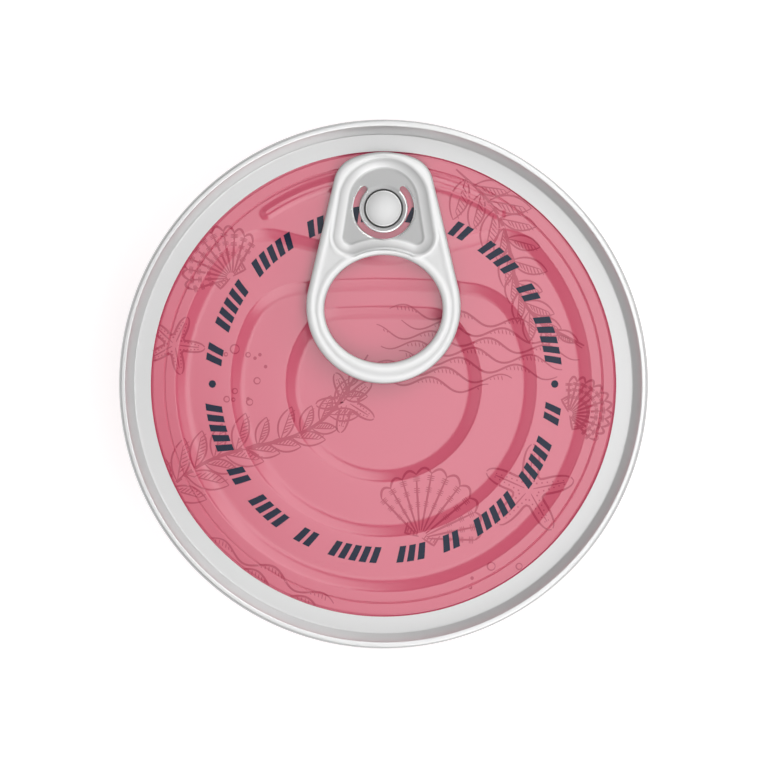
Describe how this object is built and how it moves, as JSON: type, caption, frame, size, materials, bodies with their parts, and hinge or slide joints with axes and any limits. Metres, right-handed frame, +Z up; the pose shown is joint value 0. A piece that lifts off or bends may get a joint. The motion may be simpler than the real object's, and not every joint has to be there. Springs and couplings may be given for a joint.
{
  "type": "shut food can with a ring pull",
  "caption": "Shallow round drawn food can, shut, with a seamed easy-open end, stepped panel, ring pull and rivet, printed pink with a navy rope border.",
  "frame": {"origin": "centre of the can's base, on the surface that it stands on", "axes": "+Z up along the can's axis, +Y towards the nose of the ring pull, +X to the right seen from above"},
  "size_m": [0.0873, 0.0872, 0.0349],
  "materials": {
    "printed_can": "pink litho print under clear lacquer on tinplate",
    "printed_end": "pink litho print under clear lacquer on tinplate",
    "tab_metal": "satin rolled sheet",
    "bare_tinplate": "satin bare tinplate"
  },
  "bodies": {
    "root": {"can_body": "printed_can", "lid": "printed_end", "pull_tab": "tab_metal", "rivet": "bare_tinplate"}
  },
  "joints": []
}
